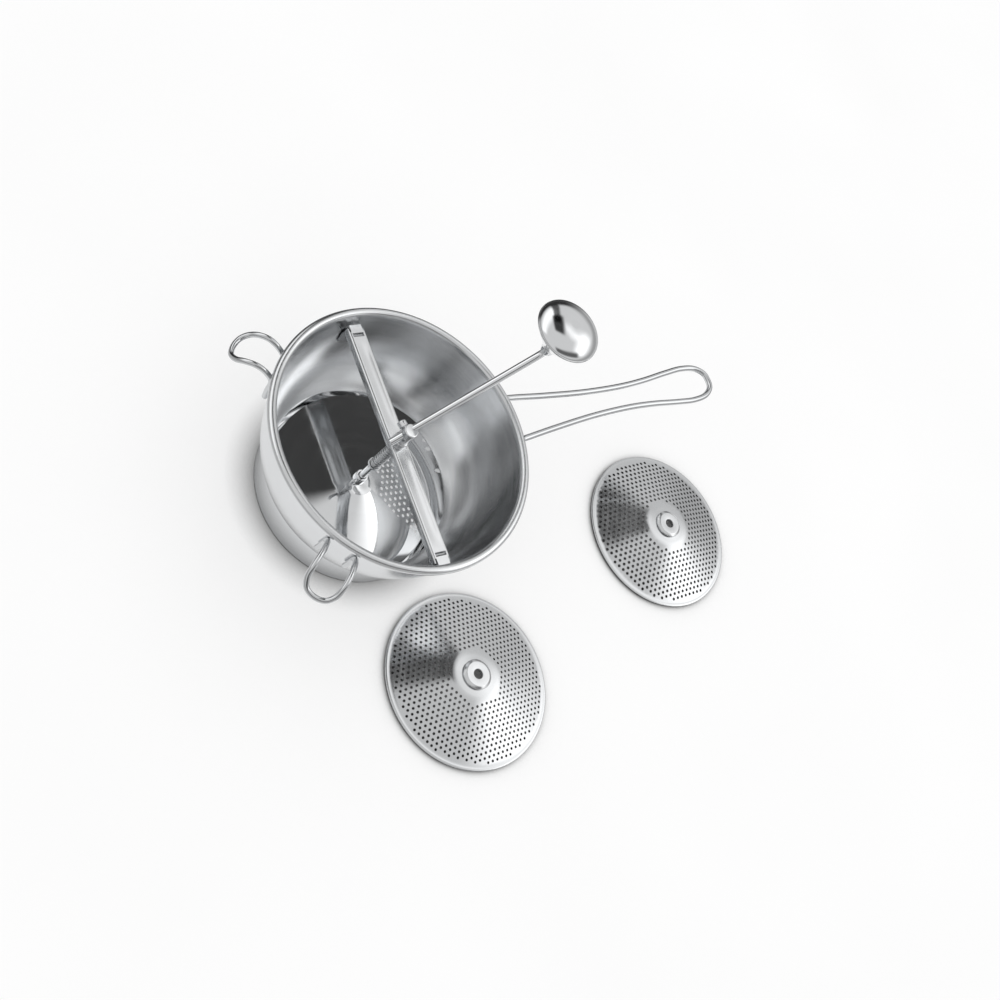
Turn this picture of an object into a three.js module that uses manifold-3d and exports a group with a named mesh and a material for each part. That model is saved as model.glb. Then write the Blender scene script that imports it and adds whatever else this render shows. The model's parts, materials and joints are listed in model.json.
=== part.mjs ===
// Stainless steel food mill with its crank drive, the sieve disc in the bowl and two spare discs beside it.
// Millimetres, +Z up. The pieces are drawn around the crank axis, with the bowl standing on z = 0, the
// handle along +X and the bridge along Y. The whole set is then centred on the origin in X and Y.
import * as THREE from "three";
import { mergeVertices } from "three/addons/utils/BufferGeometryUtils.js";
import Module from "manifold-3d";

const wasm = await Module();
wasm.setup();

// Driving dimensions.
const FIT_GAP = 0.3;
const SHEET = 1.2;

const RIM_RADIUS = 121.5;
const RIM_INNER_RADIUS = 113.4;
const BOWL_HEIGHT = 118;
const BASE_RADIUS = 86.8;
const MOUTH_RADIUS = 83.6;
const RING_HEIGHT = 30;
const LEDGE_INNER_RADIUS = 76.5;

const SIEVE_RADIUS = 81;
const SIEVE_SHEET = 1;
const SIEVE_FOOT_HEIGHT = 3;
const SIEVE_CONE_RISE = 14.6;
const SIEVE_HUB_ZONE_RADIUS = 23;
const SIEVE_BOSS_RADIUS = 13.8;
const SIEVE_BORE_RADIUS = 4.4;
const SIEVE_FEET = 4;

const HANDLE_WIRE_RADIUS = 2.9;
const HANDLE_HEIGHT = 107.5;
const HANDLE_REACH = 376;
const HOOK_WIRE_RADIUS = 2.5;
const HOOK_LEG_OFFSET = 13.4;
const LEFT_HOOK = { azimuth: 134.8, reach: 158.8 };
const RIGHT_HOOK = { azimuth: -138.6, reach: 165 };

const BRIDGE_TURN = -1.5;
const BAR_HALF_WIDTH = 8.5;
const BAR_TOP = 105.2;
const BAR_SHEET = 1.4;
const BAR_FLANGE = 6.6;
const BAR_HALF_LENGTH = 110.8;
const BAR_TAB_HALF_WIDTH = 5.8;
const WINDOW_NEAR = 99.6;
const WINDOW_FAR = 103.2;
const WINDOW_HALF_WIDTH = 5.4;

const SHAFT_RADIUS = 3.4;
const SHAFT_BOTTOM = 19.5;
const SHAFT_TOP = 116;
const HUB_TUBE_RADIUS = 5.8;
const HUB_TUBE_BOTTOM = 25.4;
const HUB_TUBE_TOP = 35.4;
const HUB_PIN_HEIGHT = 31.9;
const HUB_PIN_AZIMUTH = 20;
const PIN_RADIUS = 1.2;
const SPRING_PIN_HEIGHT = 57.4;
const SPRING_BOTTOM = 61;
const SPRING_TOP = 98.2;
const SPRING_RADIUS = 4.6;
const SPRING_WIRE_RADIUS = 0.6;
const SPRING_TURNS = 12;
const WASHER_RADIUS = 6.2;

const BLADE_RADIUS = 79.5;
const BLADE_SHEET = 1;
const BLADE_LEADING_EDGE = 26.7;
const BLADE_FOLD = 178;
const BLADE_TRAILING_EDGE = 310;
const BLADE_HUB_HEIGHT = 28.2;
const BLADE_SLOPE = 0.18;

const ARM_RADIUS = 3.25;
const ARM_AZIMUTH = 11.3;
const ARM_OFFSET = 1.2;
const ARM_HEIGHT = 123.2;
const ARM_RISE = 32.9;
const ARM_TAIL = 15;
const HEAD_RADIUS = 6.4;
const HEAD_BOTTOM = 112.4;
const HEAD_TOP = 128.4;
const SCREW_RADIUS = 1.5;
const SCREW_HEAD_RADIUS = 4;
const SCREW_HEAD_LENGTH = 5.4;
const KNOB_REACH = 109.5;
const KNOB_BOTTOM = 202;
const KNOB_RADIUS = 29;
const KNOB_SEAM = 233.4;
const SPINDLE_RADIUS = 2.8;
const SPINDLE_HEAD_BOTTOM = KNOB_BOTTOM + 21;

const SPARE_DISC_PLACES = [
  [329, -112],
  [45, -195],
];

const radians = THREE.MathUtils.degToRad;

// Materials.
function steel(color, roughness) {
  return new THREE.MeshStandardMaterial({ color, roughness, metalness: 1 });
}

const satinSteel = () => steel(0xc9cbcc, 0.32);
const polishedSteel = () => steel(0xdcdedf, 0.12);
const sieveSteel = () => steel(0xb4b6b7, 0.25);
const springSteel = () => steel(0x9b9d9f, 0.35);

// Geometry helpers.
function closedGeometry(geometry) {
  geometry.deleteAttribute("normal");
  geometry.deleteAttribute("uv");
  const merged = mergeVertices(geometry, 1e-4);
  const kept = [];
  const index = merged.index.array;
  for (let i = 0; i < index.length; i += 3) {
    const [a, b, c] = index.slice(i, i + 3);
    if (a !== b && b !== c && c !== a) kept.push(a, b, c);
  }
  merged.setIndex(kept);
  return merged;
}

function solid(geometry) {
  const closed = closedGeometry(geometry);
  const mesh = new wasm.Mesh({
    numProp: 3,
    vertProperties: new Float32Array(closed.attributes.position.array),
    triVerts: new Uint32Array(closed.index.array),
  });
  return new wasm.Manifold(mesh);
}

function geometryOf(body) {
  const mesh = body.getMesh();
  const geometry = new THREE.BufferGeometry();
  geometry.setAttribute("position", new THREE.BufferAttribute(mesh.vertProperties, 3));
  geometry.setIndex(new THREE.BufferAttribute(mesh.triVerts, 1));
  geometry.computeVertexNormals();
  return geometry;
}

// A turned piece. The outline is [radius, height] pairs, going up on the outside and down on the inside.
function turned(outline, segments = 24) {
  const points = outline.map(([radius, height]) => new THREE.Vector2(radius, height));
  return closedGeometry(new THREE.LatheGeometry(points, segments).rotateX(Math.PI / 2));
}

function ring(innerRadius, outerRadius, bottom, top, segments = 24) {
  return turned(
    [
      [innerRadius, bottom],
      [outerRadius, bottom],
      [outerRadius, top],
      [innerRadius, top],
      [innerRadius, bottom],
    ],
    segments,
  );
}

function rod(radius, from, to, sides = 16) {
  const along = new THREE.Vector3().subVectors(to, from);
  const geometry = new THREE.CylinderGeometry(radius, radius, along.length(), sides);
  const turn = new THREE.Quaternion().setFromUnitVectors(
    new THREE.Vector3(0, 1, 0),
    along.clone().normalize(),
  );
  const middle = new THREE.Vector3().addVectors(from, to).multiplyScalar(0.5);
  return geometry.applyQuaternion(turn).translate(middle.x, middle.y, middle.z);
}

function verticalRod(radius, bottom, top, sides = 16) {
  return rod(radius, new THREE.Vector3(0, 0, bottom), new THREE.Vector3(0, 0, top), sides);
}

function block([x0, y0, z0], [x1, y1, z1]) {
  const geometry = new THREE.BoxGeometry(x1 - x0, y1 - y0, z1 - z0);
  return geometry.translate((x0 + x1) / 2, (y0 + y1) / 2, (z0 + z1) / 2);
}

function wire(curve, radius, steps, sides = 8) {
  const section = new THREE.Shape();
  section.absarc(0, 0, radius, 0, 2 * Math.PI);
  const geometry = new THREE.ExtrudeGeometry(section, {
    steps,
    curveSegments: sides / 2,
    extrudePath: curve,
    bevelEnabled: false,
  });
  return closedGeometry(geometry);
}

// The outline is in the plane across Y, and the piece is as long as given, centred on y = 0.
function extrudedAlongY(outline, length) {
  const shape = new THREE.Shape(outline.map(([x, z]) => new THREE.Vector2(x, z)));
  const geometry = new THREE.ExtrudeGeometry(shape, { depth: length, bevelEnabled: false });
  return geometry.translate(0, 0, -length / 2).rotateX(Math.PI / 2);
}

function atAzimuth(radius, azimuth, height) {
  const angle = radians(azimuth);
  return new THREE.Vector3(radius * Math.cos(angle), radius * Math.sin(angle), height);
}

function named(name, geometry, material) {
  const mesh = new THREE.Mesh(geometry, material);
  mesh.name = name;
  return mesh;
}

// The bowl's inner wall bows out between the mouth and the rim, and stands almost upright at the top.
const wallCurve = new THREE.QuadraticBezierCurve(
  new THREE.Vector2(MOUTH_RADIUS + 1.6, RING_HEIGHT + 2.6),
  new THREE.Vector2(111.5, 55),
  new THREE.Vector2(RIM_INNER_RADIUS, BOWL_HEIGHT - 3),
);

function innerWallRadius(height) {
  const points = wallCurve.getPoints(40);
  const above = points.findIndex((point) => point.y >= height);
  const low = points[above - 1];
  const high = points[above];
  return low.x + ((high.x - low.x) * (height - low.y)) / (high.y - low.y);
}

function outerWallRadius(height) {
  return innerWallRadius(height) + SHEET * 1.05;
}

// Bowl: base ring with its ledge, groove, flared wall and rolled rim, spun from one sheet.
function bowl() {
  const inner = wallCurve.getPoints(7).map((point) => [point.x, point.y]);
  const outer = inner.slice(0, -1).map(([radius, height]) => [radius + SHEET * 1.05, height - 0.35]);
  const outline = [
    [LEDGE_INNER_RADIUS, 0],
    [BASE_RADIUS - 1, 0],
    [BASE_RADIUS, 1],
    [BASE_RADIUS - 0.8, RING_HEIGHT - 2.4],
    [MOUTH_RADIUS + SHEET + 0.3, RING_HEIGHT],
    ...outer,
    [RIM_INNER_RADIUS + 1.4, BOWL_HEIGHT - 3.2],
    [RIM_RADIUS - 4.6, BOWL_HEIGHT - 1.9],
    [RIM_RADIUS - 2.2, BOWL_HEIGHT - 3.4],
    [RIM_RADIUS - 2.1, BOWL_HEIGHT - 5.6],
    [RIM_RADIUS - 0.9, BOWL_HEIGHT - 5.7],
    [RIM_RADIUS, BOWL_HEIGHT - 3.8],
    [RIM_RADIUS - 0.3, BOWL_HEIGHT - 2],
    [RIM_RADIUS - 2, BOWL_HEIGHT - 0.5],
    [RIM_RADIUS - 4.2, BOWL_HEIGHT],
    [RIM_INNER_RADIUS + 1.6, BOWL_HEIGHT - 0.6],
    ...inner.reverse(),
    [MOUTH_RADIUS, RING_HEIGHT],
    [BASE_RADIUS - 2.1, RING_HEIGHT - 2.6],
    [BASE_RADIUS - 1.4, SHEET],
    [LEDGE_INNER_RADIUS, SHEET],
    [LEDGE_INNER_RADIUS, 0],
  ];
  return turned(outline, 48);
}

// A point of a wire that lies against the bowl's outer wall, at a sideways offset from the middle plane.
function onOuterWall(height, sideways, wireRadius) {
  const radius = outerWallRadius(height) + wireRadius + FIT_GAP + 0.2;
  return new THREE.Vector3(Math.sqrt(radius ** 2 - sideways ** 2), sideways, height);
}

// One half of a wire loop is listed from the weld to the tip, and mirrored to make the other half.
function loopCurve(half) {
  const otherHalf = half
    .slice(0, -1)
    .reverse()
    .map((point) => new THREE.Vector3(point.x, -point.y, point.z));
  return new THREE.CatmullRomCurve3([...half, ...otherHalf], false, "centripetal");
}

// Handle: one bent wire, welded to the wall under the rim, narrow at the waist and round at the end.
function handle() {
  const legHalfWidth = 20.5;
  const half = [
    onOuterWall(80, legHalfWidth, HANDLE_WIRE_RADIUS),
    onOuterWall(90, legHalfWidth, HANDLE_WIRE_RADIUS),
    onOuterWall(98, legHalfWidth, HANDLE_WIRE_RADIUS),
    new THREE.Vector3(117.4, legHalfWidth, 104),
    new THREE.Vector3(123, 20.2, HANDLE_HEIGHT - 0.6),
    new THREE.Vector3(132, 19.4, HANDLE_HEIGHT),
    new THREE.Vector3(165, 16, HANDLE_HEIGHT),
    new THREE.Vector3(215, 12, HANDLE_HEIGHT),
    new THREE.Vector3(260, 11, HANDLE_HEIGHT),
    new THREE.Vector3(290, 12.4, HANDLE_HEIGHT),
    new THREE.Vector3(322, 15.6, HANDLE_HEIGHT),
    new THREE.Vector3(345, 17, HANDLE_HEIGHT),
    new THREE.Vector3(362, 14.4, HANDLE_HEIGHT),
    new THREE.Vector3(HANDLE_REACH - 4.6, 7.6, HANDLE_HEIGHT),
    new THREE.Vector3(HANDLE_REACH - HANDLE_WIRE_RADIUS, 0, HANDLE_HEIGHT),
  ];
  return wire(loopCurve(half), HANDLE_WIRE_RADIUS, 64);
}

// Hook: a shorter wire loop that arches out over the edge of a pot and drops at its end.
function hook({ azimuth, reach }) {
  const start = 122;
  const tip = reach - HOOK_WIRE_RADIUS;
  const out = (share, sideways, height) =>
    new THREE.Vector3(THREE.MathUtils.lerp(start, tip, share), sideways, height);
  const half = [
    onOuterWall(78, HOOK_LEG_OFFSET, HOOK_WIRE_RADIUS),
    onOuterWall(88, HOOK_LEG_OFFSET, HOOK_WIRE_RADIUS),
    onOuterWall(98, HOOK_LEG_OFFSET, HOOK_WIRE_RADIUS),
    new THREE.Vector3(118, HOOK_LEG_OFFSET, 103),
    out(0, HOOK_LEG_OFFSET + 0.2, 106.4),
    out(0.18, 14, 109.4),
    out(0.39, 14.6, 110.2),
    out(0.63, 14.8, 107),
    out(0.82, 13.6, 101.4),
    out(0.95, 9, 97),
    out(1, 0, 95.6),
  ];
  return wire(loopCurve(half), HOOK_WIRE_RADIUS, 40).rotateZ(radians(azimuth));
}

// Bridge bracket: a lug on the inner wall whose shoulders carry the bridge and whose tongue fills its window.
function bracket(side) {
  const halfWidth = BAR_HALF_WIDTH - BAR_SHEET - 0.4;
  const tongueHalfWidth = WINDOW_HALF_WIDTH - 0.6;
  const shoulder = BAR_TOP - BAR_SHEET - FIT_GAP;
  const tip = BAR_TOP + 1;
  const thickness = 1.6;
  const tongue = (WINDOW_NEAR + WINDOW_FAR - thickness) / 2;
  const step = 93.9;
  const outline = [
    [tongue, tip],
    [tongue, step],
    [109.6, step],
    [107.9, 81],
    [109.2, 81],
    [111, step + thickness],
    [tongue + thickness, step + thickness],
    [tongue + thickness, tip],
  ];
  let lug = solid(extrudedAlongY(outline, 2 * halfWidth).rotateZ(Math.PI / 2));
  for (const edge of [-1, 1]) {
    const inner = Math.min(edge * tongueHalfWidth, edge * (halfWidth + 1));
    const outer = Math.max(edge * tongueHalfWidth, edge * (halfWidth + 1));
    lug = lug.subtract(solid(block([inner, 90, shoulder], [outer, 110, tip + 1])));
  }
  return geometryOf(lug).rotateZ(radians(BRIDGE_TURN) + (side > 0 ? 0 : Math.PI));
}

// Bridge bar: a pressed channel with a shallow groove on top and a window near each end, beyond which slits
// leave a tab between the flanges.
function bridgeBar() {
  const bottom = BAR_TOP - BAR_FLANGE;
  const under = BAR_TOP - BAR_SHEET;
  const inside = BAR_HALF_WIDTH - BAR_SHEET;
  const corner = 1.2;
  const grooveHalfWidth = 5;
  const grooveDepth = 0.5;
  const right = [
    [inside, under],
    [inside, bottom],
    [BAR_HALF_WIDTH, bottom],
    [BAR_HALF_WIDTH, BAR_TOP - corner],
    [BAR_HALF_WIDTH - corner, BAR_TOP],
    [grooveHalfWidth, BAR_TOP],
    [grooveHalfWidth - 0.8, BAR_TOP - grooveDepth],
  ];
  const left = right.map(([x, z]) => [-x, z]).reverse();
  let bar = solid(extrudedAlongY([...right, ...left], 2 * BAR_HALF_LENGTH));
  bar = bar.subtract(solid(verticalRod(6, bottom, BAR_TOP + 5, 20)));
  const beyond = BAR_HALF_LENGTH + 1;
  const slitStart = 104.6;
  const flangeEnd = 108.4;
  const cuts = [
    [[-WINDOW_HALF_WIDTH, WINDOW_NEAR, bottom - 1], [WINDOW_HALF_WIDTH, WINDOW_FAR, BAR_TOP + 1]],
    [[BAR_TAB_HALF_WIDTH, slitStart, under - 0.5], [inside, beyond, BAR_TOP + 1]],
    [[-inside, slitStart, under - 0.5], [-BAR_TAB_HALF_WIDTH, beyond, BAR_TOP + 1]],
    [[inside - 0.1, flangeEnd, bottom - 1], [BAR_HALF_WIDTH + 1, beyond, BAR_TOP + 1]],
    [[-BAR_HALF_WIDTH - 1, flangeEnd, bottom - 1], [0.1 - inside, beyond, BAR_TOP + 1]],
  ];
  for (const [low, high] of cuts) {
    bar = bar.subtract(solid(block(low, high)));
    bar = bar.subtract(solid(block(low, high).rotateZ(Math.PI)));
  }
  return geometryOf(bar).rotateZ(radians(BRIDGE_TURN));
}

// Bush: the bearing of the shaft, with its neck through the bar.
function bridgeBush() {
  const bore = SHAFT_RADIUS + FIT_GAP;
  const under = BAR_TOP - BAR_SHEET - FIT_GAP;
  const neck = 5.7;
  const bottom = 100.4;
  const top = 111.8;
  return turned(
    [
      [bore, bottom],
      [6.8, bottom],
      [6.8, under],
      [neck, under],
      [neck, BAR_TOP + FIT_GAP],
      [7.2, BAR_TOP + FIT_GAP],
      [7.2, top - 1.2],
      [6, top],
      [bore, top],
      [bore, bottom],
    ],
    28,
  );
}

// Shaft: a plain rod, drilled across for the two pins, whose lower end centres in the sieve's boss.
function shaft() {
  const outline = [
    [0, SHAFT_BOTTOM],
    [SHAFT_RADIUS - 1, SHAFT_BOTTOM],
    [SHAFT_RADIUS, SHAFT_BOTTOM + 1],
    [SHAFT_RADIUS, SHAFT_TOP],
    [0, SHAFT_TOP],
  ];
  return geometryOf(
    solid(turned(outline, 20))
      .subtract(solid(crossRod(PIN_RADIUS + FIT_GAP, SPRING_PIN_HEIGHT, SHAFT_RADIUS + 1)))
      .subtract(solid(hubPin(PIN_RADIUS + FIT_GAP, SHAFT_RADIUS + 1))),
  );
}

function crossRod(radius, height, halfLength) {
  const from = new THREE.Vector3(-halfLength, 0, height);
  const to = new THREE.Vector3(halfLength, 0, height);
  return rod(radius, from, to, 12);
}

function hubPin(radius, halfLength) {
  return crossRod(radius, HUB_PIN_HEIGHT, halfLength).rotateZ(radians(HUB_PIN_AZIMUTH));
}

class Helix extends THREE.Curve {
  constructor(radius, bottom, top, turns) {
    super();
    Object.assign(this, { radius, bottom, top, turns });
  }

  getPoint(t, target = new THREE.Vector3()) {
    const angle = 2 * Math.PI * this.turns * t;
    const height = THREE.MathUtils.lerp(this.bottom, this.top, t);
    return target.set(this.radius * Math.cos(angle), this.radius * Math.sin(angle), height);
  }
}

function spring() {
  const bottom = SPRING_BOTTOM + SPRING_WIRE_RADIUS;
  const top = SPRING_TOP - SPRING_WIRE_RADIUS;
  const coil = new Helix(SPRING_RADIUS, bottom, top, SPRING_TURNS);
  return wire(coil, SPRING_WIRE_RADIUS, SPRING_TURNS * 8, 6);
}

// Height of the blade's middle surface. From the leading edge to the fold it is one tilted plane, and
// from the fold to the trailing edge it comes down until it lies just above the sieve's cone.
function bladeHeight(radius, azimuth) {
  const plane = (angle) => BLADE_HUB_HEIGHT + BLADE_SLOPE * radius * Math.cos(radians(angle));
  if (azimuth <= BLADE_FOLD) return plane(azimuth);
  const pressed = 25.4 - 0.29 * Math.max(0, radius - 15);
  const share = (azimuth - BLADE_FOLD) / (BLADE_TRAILING_EDGE - BLADE_FOLD);
  return THREE.MathUtils.lerp(plane(BLADE_FOLD), pressed, share);
}

// A sector of sheet: a box whose width is wrapped around the axis and whose height becomes the radius.
function blade() {
  const stepsBefore = 12;
  const stepsAfter = 11;
  const steps = stepsBefore + stepsAfter;
  const geometry = new THREE.BoxGeometry(1, 1, BLADE_SHEET, steps, 8, 1);
  const place = geometry.attributes.position;
  for (let i = 0; i < place.count; i += 1) {
    const step = steps * (0.5 - place.getX(i));
    const before = Math.min(step, stepsBefore) / stepsBefore;
    const after = Math.max(step - stepsBefore, 0) / stepsAfter;
    const azimuth =
      BLADE_LEADING_EDGE +
      before * (BLADE_FOLD - BLADE_LEADING_EDGE) +
      after * (BLADE_TRAILING_EDGE - BLADE_FOLD);
    const radius = THREE.MathUtils.lerp(HUB_TUBE_RADIUS + FIT_GAP, BLADE_RADIUS, place.getY(i) + 0.5);
    const point = atAzimuth(radius, azimuth, bladeHeight(radius, azimuth) + place.getZ(i));
    place.setXYZ(i, point.x, point.y, point.z);
  }
  return closedGeometry(geometry);
}

function bladeHub() {
  const tube = solid(ring(SHAFT_RADIUS + FIT_GAP, HUB_TUBE_RADIUS, HUB_TUBE_BOTTOM, HUB_TUBE_TOP));
  return geometryOf(tube.subtract(solid(hubPin(PIN_RADIUS + FIT_GAP, HUB_TUBE_RADIUS + 1))));
}

// The crank arm's line, from its tail behind the shaft to the bend under the knob. It passes the shaft's axis
// at a small offset.
const armTan = Math.tan(radians(ARM_RISE));

function armPoint(radius) {
  const aside = atAzimuth(ARM_OFFSET, ARM_AZIMUTH + 90, 0);
  return atAzimuth(radius, ARM_AZIMUTH, ARM_HEIGHT + radius * armTan).add(aside);
}

// A point on the lock screw's axis, which runs level and across the arm.
function screwPoint(distance) {
  return atAzimuth(distance, ARM_AZIMUTH + 90, ARM_HEIGHT - 1);
}

function crankHead() {
  const bore = SHAFT_RADIUS + FIT_GAP;
  const outline = [
    [0, SHAFT_TOP + FIT_GAP],
    [bore, SHAFT_TOP + FIT_GAP],
    [bore, HEAD_BOTTOM],
    [HEAD_RADIUS - 0.8, HEAD_BOTTOM],
    [HEAD_RADIUS, HEAD_BOTTOM + 0.8],
    [HEAD_RADIUS, HEAD_TOP - 1],
    [HEAD_RADIUS - 1, HEAD_TOP],
    [0, HEAD_TOP],
  ];
  const armHole = solid(rod(ARM_RADIUS + FIT_GAP, armPoint(-20), armPoint(20)));
  const screwHole = solid(rod(SCREW_RADIUS + FIT_GAP, screwPoint(3), screwPoint(12), 12));
  return geometryOf(solid(turned(outline)).subtract(armHole).subtract(screwHole));
}

function crankArm() {
  const bendStart = armPoint(KNOB_REACH - 8);
  const bend = armPoint(KNOB_REACH);
  const path = new THREE.CurvePath();
  path.add(new THREE.LineCurve3(armPoint(-ARM_TAIL), bendStart));
  path.add(
    new THREE.QuadraticBezierCurve3(
      bendStart,
      bend,
      new THREE.Vector3(bend.x, bend.y, KNOB_BOTTOM - 2.9),
    ),
  );
  return wire(path, ARM_RADIUS, 30, 10);
}

// Lock screw: its point presses on the arm, and its head stands off the side of the crank's head.
function lockScrew() {
  const start = ARM_OFFSET + ARM_RADIUS + FIT_GAP;
  const headStart = HEAD_RADIUS + FIT_GAP;
  const headEnd = headStart + SCREW_HEAD_LENGTH;
  const screw = turned(
    [
      [0, start],
      [SCREW_RADIUS, start],
      [SCREW_RADIUS, headStart],
      [SCREW_HEAD_RADIUS, headStart],
      [SCREW_HEAD_RADIUS, headEnd - 1],
      [SCREW_HEAD_RADIUS - 0.8, headEnd],
      [0, headEnd],
    ],
    16,
  );
  const along = screwPoint(1).sub(screwPoint(0));
  const turn = new THREE.Quaternion().setFromUnitVectors(new THREE.Vector3(0, 0, 1), along);
  return screw.applyQuaternion(turn).translate(0, 0, ARM_HEIGHT - 1);
}

// The knob's pieces are drawn on the axis and moved to the end of the arm.
function atKnob(geometry) {
  const place = armPoint(KNOB_REACH);
  return geometry.translate(place.x, place.y, 0);
}

function knobSpindle() {
  const bottom = KNOB_BOTTOM - 2.6;
  return turned(
    [
      [0, bottom],
      [SPINDLE_RADIUS, bottom],
      [SPINDLE_RADIUS, SPINDLE_HEAD_BOTTOM],
      [5.4, SPINDLE_HEAD_BOTTOM],
      [5.4, SPINDLE_HEAD_BOTTOM + 1.6],
      [4, SPINDLE_HEAD_BOTTOM + 2.6],
      [0, SPINDLE_HEAD_BOTTOM + 2.6],
    ],
    16,
  );
}

// Knob shell: a spun cone on a short neck.
function knobShell() {
  const wall = 1.2;
  const outside = [
    [6.2, 0],
    [6.8, 3.4],
    [8.8, 7],
    [11.8, 10.2],
    [15.3, 14.2],
    [19.7, 19.6],
    [24.6, 25.6],
    [KNOB_RADIUS - 0.8, 30.2],
    [KNOB_RADIUS, KNOB_SEAM - KNOB_BOTTOM - 0.6],
    [KNOB_RADIUS - 0.4, KNOB_SEAM - KNOB_BOTTOM],
  ];
  const inside = [
    [KNOB_RADIUS - 0.4 - wall, KNOB_SEAM - KNOB_BOTTOM],
    [KNOB_RADIUS - 1.6 - wall, 29.4],
    [23.2, 25.9],
    [18.4, 20],
    [14.1, 14.8],
    [10.6, 10.9],
    [7.4, 7.5],
    [5.4, 3.8],
    [5, 0],
    [6.2, 0],
  ];
  const outline = [...outside, ...inside].map(([radius, rise]) => [radius, KNOB_BOTTOM + rise]);
  return turned(outline, 32);
}

// Knob cap: a shallow dome that closes the shell.
function knobCap() {
  const inside = [
    [0, 9.9],
    [11, 9],
    [18.8, 6.9],
    [24, 4],
    [KNOB_RADIUS - 1.6, FIT_GAP],
  ];
  const outside = [
    [KNOB_RADIUS - 0.4, FIT_GAP],
    [KNOB_RADIUS - 0.6, FIT_GAP + 1.2],
    [25.6, 4.6],
    [19.6, 8],
    [11.4, 10.3],
    [0, 11.2],
  ];
  const outline = [...inside, ...outside].map(([radius, rise]) => [radius, KNOB_SEAM + rise]);
  return turned(outline, 32);
}

// Sieve disc: a perforated cone on bent feet, drawn standing on z = 0.
function sievePlate(holeRadius, holeRings) {
  const rimTop = SIEVE_FOOT_HEIGHT + SIEVE_SHEET;
  const zoneTop = rimTop + SIEVE_CONE_RISE;
  const topLine = [
    [SIEVE_RADIUS, rimTop - 0.4],
    [SIEVE_RADIUS - 0.8, rimTop],
    [SIEVE_RADIUS - 4, rimTop],
    [SIEVE_HUB_ZONE_RADIUS, zoneTop],
    [SIEVE_BORE_RADIUS, zoneTop + 1.4],
  ];
  const bottomLine = [
    [SIEVE_BORE_RADIUS, zoneTop + 1.4 - SIEVE_SHEET],
    [SIEVE_HUB_ZONE_RADIUS, zoneTop - SIEVE_SHEET],
    [SIEVE_RADIUS - 4, SIEVE_FOOT_HEIGHT],
    [SIEVE_RADIUS, SIEVE_FOOT_HEIGHT],
    [SIEVE_RADIUS, rimTop - 0.4],
  ];
  let plate = solid(turned([...topLine, ...bottomLine], 36));
  for (let i = 0; i < SIEVE_FEET; i += 1) {
    const foot = block([SIEVE_RADIUS - 2.4, -5, 0], [SIEVE_RADIUS - 1.2, 5, SIEVE_FOOT_HEIGHT + 0.5]);
    plate = plate.add(solid(foot.rotateZ(radians(45 + (360 / SIEVE_FEET) * i))));
  }
  for (const [radius, count] of holeRings) {
    for (let i = 0; i < count; i += 1) {
      const hole = verticalRod(holeRadius, 0, zoneTop + 5, 6).translate(radius, 0, 0);
      plate = plate.subtract(solid(hole.rotateZ((2 * Math.PI * (i + 0.5)) / count)));
    }
  }
  return geometryOf(plate);
}

// Boss: the turned ring on top of the disc that takes the shaft's end.
function sieveBoss() {
  const base = SIEVE_FOOT_HEIGHT + SIEVE_SHEET + SIEVE_CONE_RISE + 1.4 + FIT_GAP;
  const top = base + 2.5;
  return turned([
    [SIEVE_BORE_RADIUS, base],
    [SIEVE_BOSS_RADIUS, base - 0.6],
    [SIEVE_BOSS_RADIUS, base + 1],
    [SIEVE_BOSS_RADIUS - 2.2, top],
    [SIEVE_BORE_RADIUS, top],
    [SIEVE_BORE_RADIUS, base],
  ]);
}

function sieveDisc(name, holeRadius, x, y, z) {
  const disc = new THREE.Group();
  const holeRings = [
    [40, 8],
    [64, 12],
  ];
  disc.add(named(name + "_plate", sievePlate(holeRadius, holeRings), sieveSteel()));
  disc.add(named(name + "_boss", sieveBoss(), sieveSteel()));
  disc.position.set(x, y, z);
  return disc;
}

// The bowl and what is welded to it.
function bowlGroup() {
  const group = new THREE.Group();
  group.add(named("bowl", bowl(), satinSteel()));
  group.add(named("handle_wire", handle(), polishedSteel()));
  group.add(named("hook_left", hook(LEFT_HOOK), polishedSteel()));
  group.add(named("hook_right", hook(RIGHT_HOOK), polishedSteel()));
  group.add(named("bridge_bracket_left", bracket(1), satinSteel()));
  group.add(named("bridge_bracket_right", bracket(-1), satinSteel()));
  return group;
}

// The bridge, which lifts out with the drive.
function bridgeGroup() {
  const bore = SHAFT_RADIUS + FIT_GAP;
  const group = new THREE.Group();
  group.add(named("bridge_bar", bridgeBar(), polishedSteel()));
  group.add(named("bridge_bush", bridgeBush(), satinSteel()));
  group.add(named("spring_upper_washer", ring(bore, WASHER_RADIUS, SPRING_TOP + 0.4, 100.1), satinSteel()));
  group.add(named("spring", spring(), springSteel()));
  return group;
}

// The drive: everything that turns with the crank, and the washer that its spring presses on.
function driveGroup() {
  const bore = SHAFT_RADIUS + FIT_GAP;
  const washer = ring(bore, WASHER_RADIUS, SPRING_PIN_HEIGHT + PIN_RADIUS + FIT_GAP, SPRING_BOTTOM - FIT_GAP);
  const group = new THREE.Group();
  group.add(named("spring_lower_washer", washer, satinSteel()));
  group.add(named("shaft", shaft(), polishedSteel()));
  group.add(named("spring_pin", crossRod(PIN_RADIUS, SPRING_PIN_HEIGHT, 5.8), satinSteel()));
  group.add(named("blade_plate", blade(), polishedSteel()));
  group.add(named("blade_hub", bladeHub(), polishedSteel()));
  group.add(named("blade_hub_pin", hubPin(PIN_RADIUS, 9), satinSteel()));
  group.add(named("crank_head", crankHead(), polishedSteel()));
  group.add(named("crank_arm", crankArm(), polishedSteel()));
  group.add(named("crank_lock_screw", lockScrew(), polishedSteel()));
  return group;
}

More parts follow.
